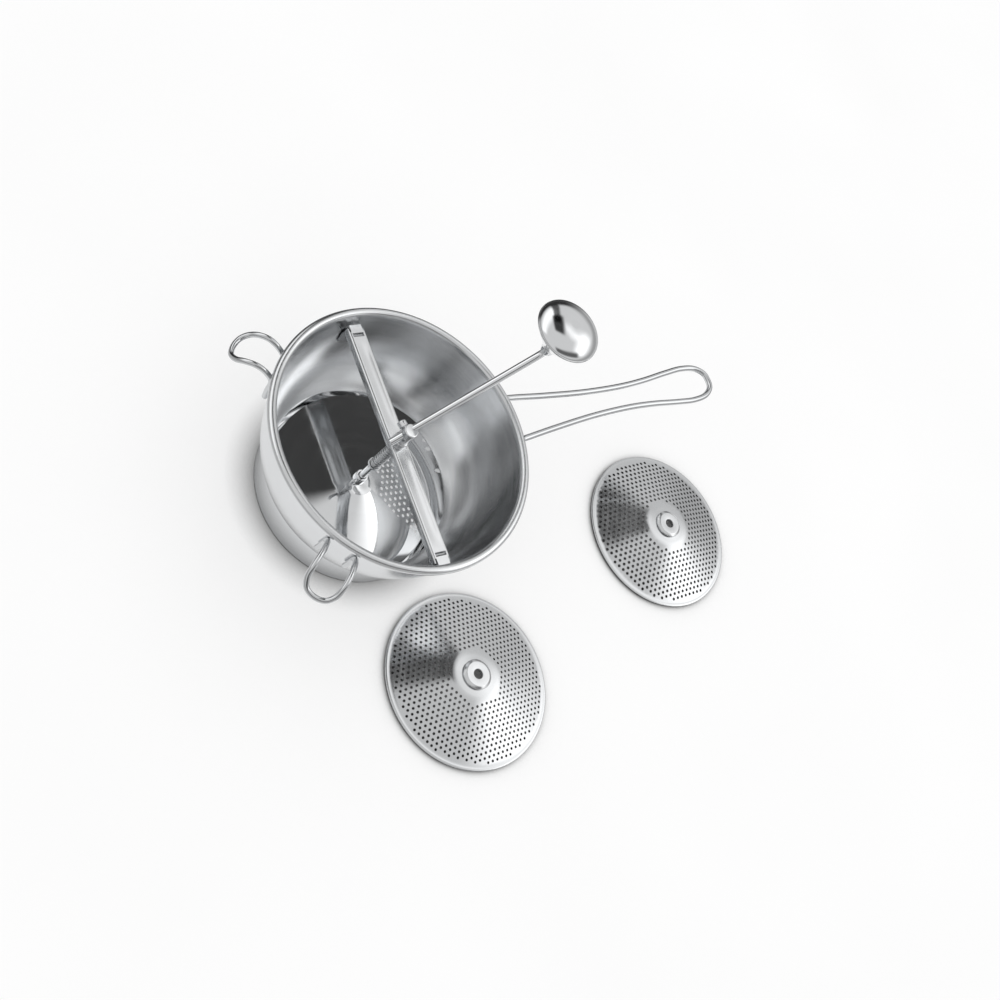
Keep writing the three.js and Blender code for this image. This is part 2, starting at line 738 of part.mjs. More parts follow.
function knobGroup() {
  const group = new THREE.Group();
  const bore = SPINDLE_RADIUS + FIT_GAP;
  const collar = ring(bore, 5.6, KNOB_BOTTOM - 2.4, KNOB_BOTTOM - FIT_GAP, 20);
  const bush = ring(bore, 4.7, KNOB_BOTTOM + FIT_GAP, SPINDLE_HEAD_BOTTOM - FIT_GAP, 20);
  group.add(named("knob_spindle", atKnob(knobSpindle()), satinSteel()));
  group.add(named("knob_collar", atKnob(collar), polishedSteel()));
  group.add(named("knob_bush", atKnob(bush), satinSteel()));
  group.add(named("knob_shell", atKnob(knobShell()), polishedSteel()));
  group.add(named("knob_cap", atKnob(knobCap()), polishedSteel()));
  return group;
}

const foodMill = new THREE.Group();
foodMill.add(bowlGroup(), bridgeGroup(), driveGroup(), knobGroup());
foodMill.add(sieveDisc("fitted_sieve", 2, 0, 0, SHEET + FIT_GAP));
SPARE_DISC_PLACES.forEach(([x, y], i) => {
  foodMill.add(sieveDisc("spare_sieve_" + (i + 1), 1.5, x, y, 0));
});

// Centre the set on the origin, standing on z = 0.
foodMill.updateMatrixWorld(true);
const extent = new THREE.Box3().setFromObject(foodMill);
const centre = extent.getCenter(new THREE.Vector3());
foodMill.position.set(-centre.x, -centre.y, -extent.min.z);

const part = new THREE.Group();
part.add(foodMill);

export default part;
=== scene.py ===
"""The food mill's looks: polished and spun stainless steel on a pale floor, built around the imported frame.

Shapes are drawn in millimetres around the crank axis, as in the CAD source. Each piece's origin is on that
axis (the knob's pieces on the knob's axis, the spare discs' on their own), so that turned lines and the
direction of the polish follow the object's own centre.
"""

import json
import math

import bmesh
import bpy
import numpy as np
from mathutils import Matrix, Vector
from mathutils.geometry import delaunay_2d_cdt


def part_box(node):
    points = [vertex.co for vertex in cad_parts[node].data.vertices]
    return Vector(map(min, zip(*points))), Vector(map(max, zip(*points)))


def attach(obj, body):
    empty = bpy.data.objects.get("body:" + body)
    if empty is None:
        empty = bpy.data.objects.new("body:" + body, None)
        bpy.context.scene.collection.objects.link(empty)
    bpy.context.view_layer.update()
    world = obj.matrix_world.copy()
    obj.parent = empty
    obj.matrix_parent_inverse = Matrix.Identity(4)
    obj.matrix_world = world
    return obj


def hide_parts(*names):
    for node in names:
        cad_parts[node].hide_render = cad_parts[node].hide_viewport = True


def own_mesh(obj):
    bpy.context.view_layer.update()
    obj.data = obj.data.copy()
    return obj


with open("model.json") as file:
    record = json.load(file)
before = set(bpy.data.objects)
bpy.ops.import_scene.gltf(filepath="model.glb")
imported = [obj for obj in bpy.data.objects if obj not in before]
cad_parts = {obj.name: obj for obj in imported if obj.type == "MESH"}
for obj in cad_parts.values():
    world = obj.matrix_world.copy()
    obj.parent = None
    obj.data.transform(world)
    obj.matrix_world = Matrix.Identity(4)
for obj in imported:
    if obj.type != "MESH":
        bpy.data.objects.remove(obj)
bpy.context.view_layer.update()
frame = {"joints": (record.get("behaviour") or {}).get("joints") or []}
MM = 0.001

JOINTS = {joint["name"]: joint for joint in frame["joints"]}


def on_floor(point):
    return Vector((point[0], point[1], 0))


def centre_of(node):
    low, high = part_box(node)
    return on_floor((low + high) / 2)


AXIS = on_floor(JOINTS["crank_turn"]["pos_m"])
KNOB_AXIS = on_floor(JOINTS["knob_spin"]["pos_m"])

# The mill's dimensions, in millimetres, as in the CAD source.
SHEET = 1.2
WALL_SHEET = SHEET * 1.05
RIM_RADIUS = 121.5
RIM_INNER_RADIUS = 113.4
BOWL_HEIGHT = 118
BASE_RADIUS = 86.8
MOUTH_RADIUS = 83.6
RING_HEIGHT = 30
LEDGE_INNER_RADIUS = 76.5

SIEVE_RADIUS = 81
SIEVE_SHEET = 1
SIEVE_FOOT_HEIGHT = 3
SIEVE_CONE_RISE = 14.6
SIEVE_HUB_ZONE_RADIUS = 23
SIEVE_BAND_RADIUS = 77
SIEVE_BOSS_RADIUS = 13.8
SIEVE_BORE_RADIUS = 4.4
FITTED_SIEVE_HEIGHT = 1.5

HANDLE_WIRE_RADIUS = 2.9
HANDLE_HEIGHT = 107.5
HANDLE_REACH = 376
HOOK_WIRE_RADIUS = 2.5
HOOK_LEG_OFFSET = 13.4
LEFT_HOOK = (134.8, 158.8)
RIGHT_HOOK = (-138.6, 165)
WALL_GAP = 0.5
LUG_SHEET = 1.3
LUG_STEP_HEIGHT = 94.8
LUG_STEP_RADIUS = 110.2
LUG_FOOT_HEIGHT = 81.1
LUG_FOOT_RADIUS = 108.6
TONGUE_DROP = 1.2

BRIDGE_TURN = -1.5
BAR_HALF_WIDTH = 8.5
BAR_TOP = 105.2
BAR_SHEET = 1.4
BAR_FLANGE = 6.6
BAR_HALF_LENGTH = 110.8
BAR_TAB_HALF_WIDTH = 5.8
SLIT_START = 104.6
FLANGE_END = 108.4
WINDOW_NEAR = 99.6
WINDOW_FAR = 103.2
WINDOW_HALF_WIDTH = 5.4
GROOVE_HALF_WIDTH = 5
GROOVE_DEPTH = 0.35
GROOVE_START = 12
GROOVE_END = 94
GROOVE_RUN_OUT = 14
BUSH_HOLE_HALF_WIDTH = 5
BUSH_BOTTOM = 100.4
BUSH_TOP = 111.8
BUSH_LOWER_RADIUS = 6.8
BUSH_NECK_RADIUS = 5.7
BUSH_UPPER_RADIUS = 7.2

SHAFT_RADIUS = 3.4
SHAFT_BOTTOM = 19.5
SHAFT_TOP = 116
BORE_RADIUS = 3.7
WASHER_RADIUS = 6.2
UPPER_WASHER_BOTTOM = 98.6
UPPER_WASHER_TOP = 100.1
PIN_RADIUS = 1.2
SPRING_PIN_HEIGHT = 57.4
SPRING_RADIUS = 4.6
SPRING_WIRE_RADIUS = 0.6
SPRING_BOTTOM = 61
SPRING_TOP = 98.2
SPRING_TURNS = 12
HUB_TUBE_RADIUS = 5.8
HUB_TUBE_BOTTOM = 25.4
HUB_TUBE_TOP = 35.4
HUB_PIN_HEIGHT = 31.9
HUB_PIN_AZIMUTH = 20

BLADE_RADIUS = 79.5
BLADE_SHEET = 1
BLADE_LEADING_EDGE = 26.7
BLADE_FOLD = 178
BLADE_TRAILING_EDGE = 310
BLADE_HUB_HEIGHT = 28.2
BLADE_SLOPE = 0.18
PRESSED_HEIGHT = 25.4
PRESSED_SLOPE = 0.29

ARM_RADIUS = 3.25
ARM_AZIMUTH = 11.3
ARM_OFFSET = 1.2
ARM_HEIGHT = 123.2
ARM_RISE = 32.9
ARM_TAIL = 15
SCREW_RADIUS = 1.5
SCREW_HEAD_RADIUS = 4
SCREW_HEAD_LENGTH = 5.4
HEAD_RADIUS = 6.4
HEAD_BOTTOM = 112.4
HEAD_TOP = 128.4
KNOB_REACH = 109.5
KNOB_BOTTOM = 202
KNOB_RADIUS = 29
KNOB_SEAM = 233.4
SPINDLE_RADIUS = 2.8
SPINDLE_HEAD_RADIUS = 5.4
SPINDLE_HEAD = KNOB_BOTTOM + 21
COLLAR_RADIUS = 5.6
COLLAR_BORE_RADIUS = 3.1

# ---------------------------------------------------------------- shapes


def lerp(a, b, share):
    return a + (b - a) * share


def rounded(corners, closed=True, steps=5):
    """The outline's points. A corner with a third number is rounded to about that radius."""
    points = []
    count = len(corners)
    for i, corner in enumerate(corners):
        place = Vector(corner[:2])
        at_end = not closed and i in (0, count - 1)
        if len(corner) < 3 or at_end:
            points.append(place)
            continue
        before = Vector(corners[i - 1][:2]) - place
        after = Vector(corners[(i + 1) % count][:2]) - place
        cut = corner[2] / math.tan(before.angle(after) / 2)
        cut = min(cut, 0.49 * before.length, 0.49 * after.length)
        start = place + before.normalized() * cut
        end = place + after.normalized() * cut
        for step in range(steps + 1):
            t = step / steps
            points.append(start.lerp(place, t).lerp(place.lerp(end, t), t))
    return points


def smooth_through(points, per_span=10):
    """Centripetal Catmull-Rom curve through the points, of two or three coordinates."""
    place = [np.array(point, float) for point in points]
    place = [2 * place[0] - place[1], *place, 2 * place[-1] - place[-2]]
    curve = []
    for i in range(1, len(place) - 2):
        p0, p1, p2, p3 = place[i - 1 : i + 3]
        t1 = math.sqrt(np.linalg.norm(p1 - p0))
        t2 = t1 + math.sqrt(np.linalg.norm(p2 - p1))
        t3 = t2 + math.sqrt(np.linalg.norm(p3 - p2))
        for step in range(per_span):
            t = lerp(t1, t2, step / per_span)
            a1 = lerp(p0, p1, t / t1)
            a2 = lerp(p1, p2, (t - t1) / (t2 - t1))
            a3 = lerp(p2, p3, (t - t2) / (t3 - t2))
            b1 = lerp(a1, a2, t / t2)
            b2 = lerp(a2, a3, (t - t1) / (t3 - t1))
            curve.append(lerp(b1, b2, (t - t1) / (t2 - t1)))
    curve.append(place[-2])
    return curve


def lathe(outline, segments=160):
    """A closed turned solid. The outline closes on itself, or starts and ends on the axis."""
    verts, rows, faces = [], [], []
    angles = [2 * math.pi * j / segments for j in range(segments)]
    for radius, height in outline:
        if radius < 1e-6:
            rows.append([len(verts)] * segments)
            verts.append((0, 0, height))
        else:
            rows.append(range(len(verts), len(verts) + segments))
            verts += [(radius * math.cos(a), radius * math.sin(a), height) for a in angles]
    pairs = list(zip(rows, rows[1:]))
    if outline[0][0] > 1e-6:
        pairs.append((rows[-1], rows[0]))
    for low, high in pairs:
        for j in range(segments):
            k = (j + 1) % segments
            face = list(dict.fromkeys((low[j], low[k], high[k], high[j])))
            if len(face) > 2:
                faces.append(face)
    return verts, faces


def turned(corners, segments, closed=True):
    """A turned solid from an outline with rounded corners."""
    return lathe(rounded(corners, closed), segments)


def tube(path, radius, sides=20, cap_steps=5, cap_depth=1.0):
    """A round wire along the path, with domed ends."""
    path = np.array(path, float)
    tangents = np.gradient(path, axis=0)
    tangents /= np.linalg.norm(tangents, axis=1)[:, None]
    helper = np.eye(3)[np.argmin(np.abs(tangents[0]))]
    across = np.cross(tangents[0], helper)
    rings = []
    for place, tangent in zip(path, tangents):
        across = across - tangent * (across @ tangent)
        across /= np.linalg.norm(across)
        rings.append((place, tangent, across, radius))
    turns = [math.pi / 2 * step / cap_steps for step in range(1, cap_steps)]
    for turn in turns:
        reach = radius * cap_depth * math.sin(turn)
        rings.insert(0, (path[0] - tangents[0] * reach, tangents[0], rings[0][2], radius * math.cos(turn)))
        rings.append((path[-1] + tangents[-1] * reach, tangents[-1], rings[-1][2], radius * math.cos(turn)))
    verts = []
    for place, tangent, first, size in rings:
        second = np.cross(tangent, first)
        for side in range(sides):
            angle = 2 * math.pi * side / sides
            verts.append(place + size * (math.cos(angle) * first + math.sin(angle) * second))
    faces = []
    for ring in range(len(rings) - 1):
        for side in range(sides):
            after = (side + 1) % sides
            low, high = ring * sides, (ring + 1) * sides
            faces.append((low + side, low + after, high + after, high + side))
    last = (len(rings) - 1) * sides
    verts.append(path[0] - tangents[0] * radius * cap_depth)
    verts.append(path[-1] + tangents[-1] * radius * cap_depth)
    for side in range(sides):
        after = (side + 1) % sides
        faces.append((len(verts) - 2, after, side))
        faces.append((len(verts) - 1, last + side, last + after))
    return verts, faces


def thick_sheet(top, bottom, faces):
    """A closed sheet from its two surfaces, which share their faces, with walls round each edge and hole."""
    count = len(top)
    edges = {}
    for face in faces:
        for edge in zip(face, (*face[1:], face[0])):
            edges[edge] = True
    walls = [(b, a, a + count, b + count) for a, b in edges if (b, a) not in edges]
    under = [tuple(v + count for v in reversed(face)) for face in faces]
    return [*top, *bottom], [*faces, *under, *walls]


def renumbered(faces):
    """The points that the faces use, and the faces with those points numbered from 0."""
    used = sorted({v for face in faces for v in face})
    place = {v: i for i, v in enumerate(used)}
    return used, [tuple(place[v] for v in face) for face in faces]


def plate(grid, thickness, kept=None):
    """A sheet around a grid of points on its middle surface. kept says which cells are there."""
    grid = np.array(grid, float)
    rows, columns = grid.shape[:2]
    normals = np.cross(np.gradient(grid, axis=0), np.gradient(grid, axis=1))
    normals /= np.linalg.norm(normals, axis=2)[:, :, None]
    faces = []
    for i in range(rows - 1):
        for j in range(columns - 1):
            if kept is None or kept(i, j):
                here = i * columns + j
                faces.append((here, here + columns, here + columns + 1, here + 1))
    used, faces = renumbered(faces)
    top = (grid + normals * thickness / 2).reshape(-1, 3)[used]
    bottom = (grid - normals * thickness / 2).reshape(-1, 3)[used]
    return thick_sheet(list(top), list(bottom), faces)


def joined(*shapes):
    verts, faces = [], []
    for more_verts, more_faces in shapes:
        start = len(verts)
        verts += [tuple(v) for v in more_verts]
        faces += [tuple(v + start for v in face) for face in more_faces]
    return verts, faces


def at_azimuth(radius, azimuth, height):
    angle = math.radians(azimuth)
    return (radius * math.cos(angle), radius * math.sin(angle), height)


def turned_about_z(shape, degrees):
    turn = Matrix.Rotation(math.radians(degrees), 3, "Z")
    verts, faces = shape
    return [turn @ Vector(v) for v in verts], faces


def piece(name, shape, material, body, nodes, origin=AXIS, crease=35):
    verts, faces = shape
    mesh = bpy.data.meshes.new(name)
    mesh.from_pydata([Vector(v) * MM for v in verts], [], faces)
    work = bmesh.new()
    work.from_mesh(mesh)
    bmesh.ops.recalc_face_normals(work, faces=work.faces)
    work.to_mesh(mesh)
    work.free()
    mesh.shade_smooth()
    mesh.set_sharp_from_angle(angle=math.radians(crease))
    mesh.materials.append(material)
    made = bpy.data.objects.new(name, mesh)
    made.location = origin
    bpy.context.scene.collection.objects.link(made)
    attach(made, body)
    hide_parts(*nodes)
    return made


# ---------------------------------------------------------------- materials


def add_node(tree, kind, inputs=None, output=0, **settings):
    """Adds a node and returns one of its outputs. An input is a value, or another node's output."""
    node = tree.nodes.new(kind)
    for key, value in settings.items():
        setattr(node, key, value)
    for key, value in (inputs or {}).items():
        if isinstance(value, bpy.types.NodeSocket):
            tree.links.new(value, node.inputs[key])
        else:
            node.inputs[key].default_value = value
    return node.outputs[output]


def maths(tree, operation, a, b=0.0, clamp=False):
    return add_node(tree, "ShaderNodeMath", {0: a, 1: b}, operation=operation, use_clamp=clamp)


def vector_maths(tree, operation, a, b, output=0):
    return add_node(tree, "ShaderNodeVectorMath", {0: a, 1: b}, output, operation=operation)


def ranged(tree, value, low, high, to_low, to_high, smooth=False):
    inputs = {"Value": value, "From Min": low, "From Max": high, "To Min": to_low, "To Max": to_high}
    return add_node(
        tree,
        "ShaderNodeMapRange",
        inputs,
        interpolation_type="SMOOTHSTEP" if smooth else "LINEAR",
    )


def noise(tree, vector, scale, detail=2.0, rough=0.5):
    return add_node(
        tree,
        "ShaderNodeTexNoise",
        {"Vector": vector, "Scale": scale, "Detail": detail, "Roughness": rough},
    )


# The depth of the polishing marks, in metres, and how many smudges and patches of tone there are to a metre.
MARK_DEPTH = 0.00012
SMUDGE_SCALE = 26
MIST_SCALE = 7
# The roughness of the brighter polish, and how far it blends in, in metres.
BRIGHT_ROUGHNESS = 0.06
BRIGHT_BLEND = 0.002


def steel(
    name,
    tint,
    roughness,
    lines,
    line_scale=1500,
    anisotropy=0.0,
    line_depth=0.1,
    turn=0.0,
    bright_below=None,
):
    """Stainless steel. lines is "spun" for marks that run round the piece's own axis, or the stretch of the
    marks along X, Y and Z, where a small number is the way they run. turn rotates the polish's direction,
    as a share of a full turn. Below the height bright_below, in metres, the steel is polished brighter."""
    material = bpy.data.materials.new(name)
    material.use_nodes = True
    tree = material.node_tree
    shader = tree.nodes["Principled BSDF"]
    place = add_node(tree, "ShaderNodeTexCoord", output=3)
    if lines == "spun":
        axes = add_node(tree, "ShaderNodeSeparateXYZ", {0: place})
        node = axes.node
        flat = add_node(tree, "ShaderNodeCombineXYZ", {"X": node.outputs[0], "Y": node.outputs[1]})
        radius = add_node(tree, "ShaderNodeVectorMath", {0: flat}, 1, operation="LENGTH")
        marks_at = add_node(tree, "ShaderNodeCombineXYZ", {"X": radius, "Y": node.outputs[2]})
    else:
        marks_at = vector_maths(tree, "MULTIPLY", place, lines)
    fine = noise(tree, marks_at, line_scale, 3.0, 0.6)
    broad = noise(tree, marks_at, line_scale / 12, 2.0)
    smudge = noise(tree, place, SMUDGE_SCALE, 3.0)
    mist = noise(tree, place, MIST_SCALE, 2.0)
    rough = maths(tree, "ADD", ranged(tree, fine, 0.3, 0.7, -0.035, 0.035), roughness)
    rough = maths(tree, "ADD", rough, ranged(tree, broad, 0.3, 0.7, -0.02, 0.02))
    rough = maths(tree, "ADD", rough, ranged(tree, smudge, 0.35, 0.7, -0.015, 0.03))
    if bright_below is not None:
        height = add_node(tree, "ShaderNodeSeparateXYZ", {0: place}, 2)
        start, end = bright_below - BRIGHT_BLEND, bright_below + BRIGHT_BLEND
        rough = maths(tree, "ADD", rough, ranged(tree, height, start, end, BRIGHT_ROUGHNESS - roughness, 0))
    rough = maths(tree, "MAXIMUM", rough, 0.03)
    tone = ranged(tree, mist, 0.3, 0.7, 0.95, 1.02)
    tone = maths(tree, "MULTIPLY", tone, ranged(tree, broad, 0.3, 0.7, 0.975, 1.0))
    colour = add_node(tree, "ShaderNodeRGB")
    colour.default_value = (*tint, 1)
    scaled = add_node(tree, "ShaderNodeVectorMath", {0: colour, "Scale": tone}, operation="SCALE")
    relief = maths(tree, "ADD", maths(tree, "MULTIPLY", fine, 0.5), broad)
    marks = {"Strength": line_depth, "Distance": MARK_DEPTH, "Height": relief}
    bump = add_node(tree, "ShaderNodeBump", marks)
    tree.links.new(scaled, shader.inputs["Base Color"])
    tree.links.new(rough, shader.inputs["Roughness"])
    tree.links.new(bump, shader.inputs["Normal"])
    shader.inputs["Metallic"].default_value = 1.0
    if anisotropy:
        tangent = add_node(tree, "ShaderNodeTangent", direction_type="RADIAL", axis="Z")
        tree.links.new(tangent, shader.inputs["Tangent"])
        shader.inputs["Anisotropic"].default_value = anisotropy
        shader.inputs["Anisotropic Rotation"].default_value = turn
    return material


BOWL_STEEL = steel(
    "bowl_satin_steel",
    (0.78, 0.79, 0.8),
    0.2,
    "spun",
    1300,
    anisotropy=0.65,
    turn=0.25,
    bright_below=RING_HEIGHT * MM,
)
WIRE_STEEL = steel("wire_polished_steel", (0.66, 0.67, 0.68), 0.09, (1, 1, 1), 900)
BAR_STEEL = steel("bar_polished_steel", (0.82, 0.83, 0.84), 0.18, (1, 0.02, 1), 1800)
# The lugs' steel is darker than the bowl's, painted shade, so their tongues in the bar's windows read as
# shaded.
LUG_PAINTED_SHADE_STEEL = steel("lug_painted_shade_steel", (0.45, 0.46, 0.47), 0.3, (1, 1, 1), 1200)
PLAIN_STEEL = steel("turned_steel", (0.76, 0.77, 0.78), 0.18, "spun", 2500)
MIRROR_STEEL = steel("blade_mirror_steel", (0.83, 0.84, 0.85), 0.06, "spun", 1400, line_depth=0.05)
KNOB_STEEL = steel("knob_polished_steel", (0.84, 0.85, 0.86), 0.08, "spun", 1600, line_depth=0.05)
ARM_STEEL = steel("rod_polished_steel", (0.84, 0.85, 0.86), 0.1, (0.05, 1, 0.05), 1500)
SPRING_STEEL = steel("spring_drawn_steel", (0.62, 0.63, 0.64), 0.28, (1, 1, 1), 1800)
SIEVE_STEEL = steel("sieve_spun_steel", (0.7, 0.71, 0.72), 0.16, "spun", 1500, anisotropy=0.8, turn=0.25)

# ---------------------------------------------------------------- bowl and its wires

# The inner wall's profile runs from its foot to its top, and is pulled outwards towards the middle point.
WALL_FOOT = np.array((MOUTH_RADIUS + 1.6, RING_HEIGHT + 2.6))
WALL_PULL = np.array((111.5, 55.0))
WALL_TOP = np.array((RIM_INNER_RADIUS, BOWL_HEIGHT - 3))


def wall_point(t):
    return lerp(lerp(WALL_FOOT, WALL_PULL, t), lerp(WALL_PULL, WALL_TOP, t), t)


WALL_STEPS = 32
WALL = [wall_point(i / WALL_STEPS) for i in range(WALL_STEPS + 1)]


def outer_wall_radius(height):
    inner = np.interp(height, [p[1] for p in WALL], [p[0] for p in WALL])
    return inner + WALL_SHEET


def bowl_outline():
    inner = [tuple(p) for p in WALL]
    outer = [(r + WALL_SHEET, z - 0.35) for r, z in inner[:-1]]
    ring = rounded(
        [
            (LEDGE_INNER_RADIUS, 0, 0.4),
            (BASE_RADIUS, 0, 2.2),
            (BASE_RADIUS - 0.5, RING_HEIGHT - 0.6, 2.2),
            (MOUTH_RADIUS + SHEET + 0.2, RING_HEIGHT + 0.5, 0.8),
            outer[0],
        ],
        closed=False,
    )
    rim = smooth_through(
        [
            outer[-1],
            (RIM_INNER_RADIUS + 1.6, BOWL_HEIGHT - 2.9),
            (RIM_RADIUS - 5.4, BOWL_HEIGHT - 1.3),
            (RIM_RADIUS - 3, BOWL_HEIGHT - 1.9),
            (RIM_RADIUS - 1.8, BOWL_HEIGHT - 3.6),
            (RIM_RADIUS - 1.9, BOWL_HEIGHT - 5.2),
            (RIM_RADIUS - 1.2, BOWL_HEIGHT - 5.8),
            (RIM_RADIUS - 0.4, BOWL_HEIGHT - 5.2),
            (RIM_RADIUS, BOWL_HEIGHT - 3.6),
            (RIM_RADIUS - 0.8, BOWL_HEIGHT - 1.6),
            (RIM_RADIUS - 2.4, BOWL_HEIGHT - 0.4),
            (RIM_RADIUS - 4.4, BOWL_HEIGHT),
            (RIM_INNER_RADIUS + 1.8, BOWL_HEIGHT - 0.6),
            (RIM_INNER_RADIUS + 0.5, BOWL_HEIGHT - 1.7),
            inner[-1],
        ],
        4,
    )
    rim = [tuple(point) for point in rim]
    inside = rounded(
        [
            inner[1],
            (MOUTH_RADIUS - 0.2, RING_HEIGHT + 0.4, 1.1),
            (BASE_RADIUS - 1.7, RING_HEIGHT - 1.4, 2.0),
            (BASE_RADIUS - 1.2, SHEET, 1.4),
            (LEDGE_INNER_RADIUS, SHEET, 0.4),
            (LEDGE_INNER_RADIUS, 0),
        ],
        closed=False,
    )
    return [*ring, *outer[1:-1], *rim, *reversed(inner[2:-1]), *inside[:-1]]


piece("bowl_shell", lathe(bowl_outline(), 288), BOWL_STEEL, "bowl_body", ["bowl"], crease=50)


def on_outer_wall(height, sideways, wire_radius):
    radius = outer_wall_radius(height) + wire_radius + WALL_GAP
    return (math.sqrt(radius**2 - sideways**2), sideways, height)


def mirrored(half):
    return [*half, *[(x, -y, z) for x, y, z in reversed(half[:-1])]]


def handle_path():
    leg = 20.5
    half = [on_outer_wall(height, leg, HANDLE_WIRE_RADIUS) for height in (80, 90, 98)]
    half += [
        (117.4, leg, 104),
        (123, 20.2, HANDLE_HEIGHT - 0.6),
        (132, 19.4, HANDLE_HEIGHT),
        (165, 16, HANDLE_HEIGHT),
        (215, 12, HANDLE_HEIGHT),
        (260, 11, HANDLE_HEIGHT),
        (290, 12.4, HANDLE_HEIGHT),
        (322, 15.6, HANDLE_HEIGHT),
        (345, 17, HANDLE_HEIGHT),
        (362, 14.4, HANDLE_HEIGHT),
        (HANDLE_REACH - 4.6, 7.6, HANDLE_HEIGHT),
        (HANDLE_REACH - HANDLE_WIRE_RADIUS, 0, HANDLE_HEIGHT),
    ]
    return smooth_through(mirrored(half), 12)


def hook_path(reach):
    start, tip = 122, reach - HOOK_WIRE_RADIUS - 0.2
    half = [on_outer_wall(height, HOOK_LEG_OFFSET, HOOK_WIRE_RADIUS) for height in (78, 88, 98)]
    half += [
        (118, HOOK_LEG_OFFSET, 103),
        (start, HOOK_LEG_OFFSET + 0.2, 106.4),
        (lerp(start, tip, 0.18), 14, 109.4),
        (lerp(start, tip, 0.39), 14.6, 110.2),
        (lerp(start, tip, 0.63), 14.8, 107),
        (lerp(start, tip, 0.82), 13.6, 101.4),
        (lerp(start, tip, 0.95), 9, 97),
        (tip, 0, 95.6),
    ]
    return smooth_through(mirrored(half), 12)


piece(
    "handle",
    tube(handle_path(), HANDLE_WIRE_RADIUS, 28, cap_depth=0.5),
    WIRE_STEEL,
    "bowl_body",
    ["handle_wire"],
)
for side, (turn, reach) in (("left", LEFT_HOOK), ("right", RIGHT_HOOK)):
    piece(
        "rest_hook_" + side,
        turned_about_z(tube(hook_path(reach), HOOK_WIRE_RADIUS, 28, cap_depth=0.5), turn),
        WIRE_STEEL,
        "bowl_body",
        ["hook_" + side],
    )


def bracket_shape():
    """A bent lug: up the wall, in over a step, and up through the bar's window as a narrower tongue."""
    tongue = (WINDOW_NEAR + WINDOW_FAR) / 2
    corners = [
        (tongue, BAR_TOP - TONGUE_DROP),
        (tongue, LUG_STEP_HEIGHT, 2),
        (LUG_STEP_RADIUS, LUG_STEP_HEIGHT, 1.6),
        (LUG_FOOT_RADIUS, LUG_FOOT_HEIGHT),
    ]
    line = rounded(corners, closed=False, steps=6)
    shoulder = BAR_TOP - BAR_SHEET - 0.4
    line.insert(1, Vector((tongue, shoulder)))
    half = BAR_HALF_WIDTH - BAR_SHEET - 0.45
    across = [-half, -WINDOW_HALF_WIDTH + 0.6, -2, 2, WINDOW_HALF_WIDTH - 0.6, half]
    grid = [[(x, p.x, p.y) for x in across] for p in line]
    return plate(grid, LUG_SHEET, lambda i, j: i > 0 or 0 < j < len(across) - 2)


for side, turn in (("left", BRIDGE_TURN), ("right", BRIDGE_TURN + 180)):
    piece(
        "bracket_" + side,
        turned_about_z(bracket_shape(), turn),
        LUG_PAINTED_SHADE_STEEL,
        "bowl_body",
        ["bridge_bracket_" + side],
    )

# ---------------------------------------------------------------- bridge


def bar_section():
    """Points across the bar, on the middle of its sheet, as (x, z, share of the pressed groove)."""
    half = BAR_SHEET / 2
    bend = 1.7
    edge = BAR_HALF_WIDTH - half
    top = BAR_TOP - half
    corner = rounded([(edge, BAR_TOP - BAR_FLANGE), (edge, top, bend), (0, top)], closed=False, steps=6)[:-1]
    right = [(p.x, p.y, 0.0) for p in corner if p.x > BAR_TAB_HALF_WIDTH + 0.2]
    flat = [BAR_TAB_HALF_WIDTH, WINDOW_HALF_WIDTH, GROOVE_HALF_WIDTH, 4.4, 3.8, 3, 2, 1, 0]
    right += [(x, top, max(0.0, math.cos(math.pi / 2 * min(1.0, x / GROOVE_HALF_WIDTH)))) for x in flat]
    left = [(-x, z, share) for x, z, share in reversed(right[:-1])]
    return right + left


def bar_shape():
    section = bar_section()
    ends = [WINDOW_NEAR, WINDOW_FAR, SLIT_START, FLANGE_END, BAR_HALF_LENGTH]
    steps = [0, BUSH_HOLE_HALF_WIDTH, *range(8, 97, 4), *ends]
    stations = [-y for y in reversed(steps[1:])] + steps

    def depth(y):
        away = min(abs(y) - GROOVE_START, GROOVE_END - abs(y)) / GROOVE_RUN_OUT
        return GROOVE_DEPTH * max(0.0, min(1.0, away)) ** 0.8

    grid = [[(x, y, z - depth(y) * share) for x, z, share in section] for y in stations]

    def kept(i, j):
        y = abs(stations[i] + stations[i + 1]) / 2
        x = abs(section[j][0] + section[j + 1][0]) / 2
        in_window = WINDOW_NEAR < y < WINDOW_FAR and x < WINDOW_HALF_WIDTH
        in_slit = y > SLIT_START and BAR_TAB_HALF_WIDTH < x < BAR_HALF_WIDTH - 1.3
        past_flange = y > FLANGE_END and x > BAR_TAB_HALF_WIDTH
        at_bush = y < BUSH_HOLE_HALF_WIDTH and x < BUSH_HOLE_HALF_WIDTH
        return not (in_window or in_slit or past_flange or at_bush)

    return turned_about_z(plate(grid, BAR_SHEET, kept), BRIDGE_TURN)


piece("bar", bar_shape(), BAR_STEEL, "bridge", ["bridge_bar"], crease=40)

bush_under = BAR_TOP - BAR_SHEET - 0.3
piece(
    "bush",
    turned(
        [
            (BORE_RADIUS, BUSH_BOTTOM, 0.3),
            (BUSH_LOWER_RADIUS, BUSH_BOTTOM, 0.6),
            (BUSH_LOWER_RADIUS, bush_under, 0.3),
            (BUSH_NECK_RADIUS, bush_under),
            (BUSH_NECK_RADIUS, BAR_TOP + 0.3),
            (BUSH_UPPER_RADIUS, BAR_TOP + 0.3, 0.3),
            (BUSH_UPPER_RADIUS, BUSH_TOP, 1.6),
            (BORE_RADIUS, BUSH_TOP, 0.4),
        ],
        96,
    ),
    PLAIN_STEEL,
    "bridge",
    ["bridge_bush"],
)


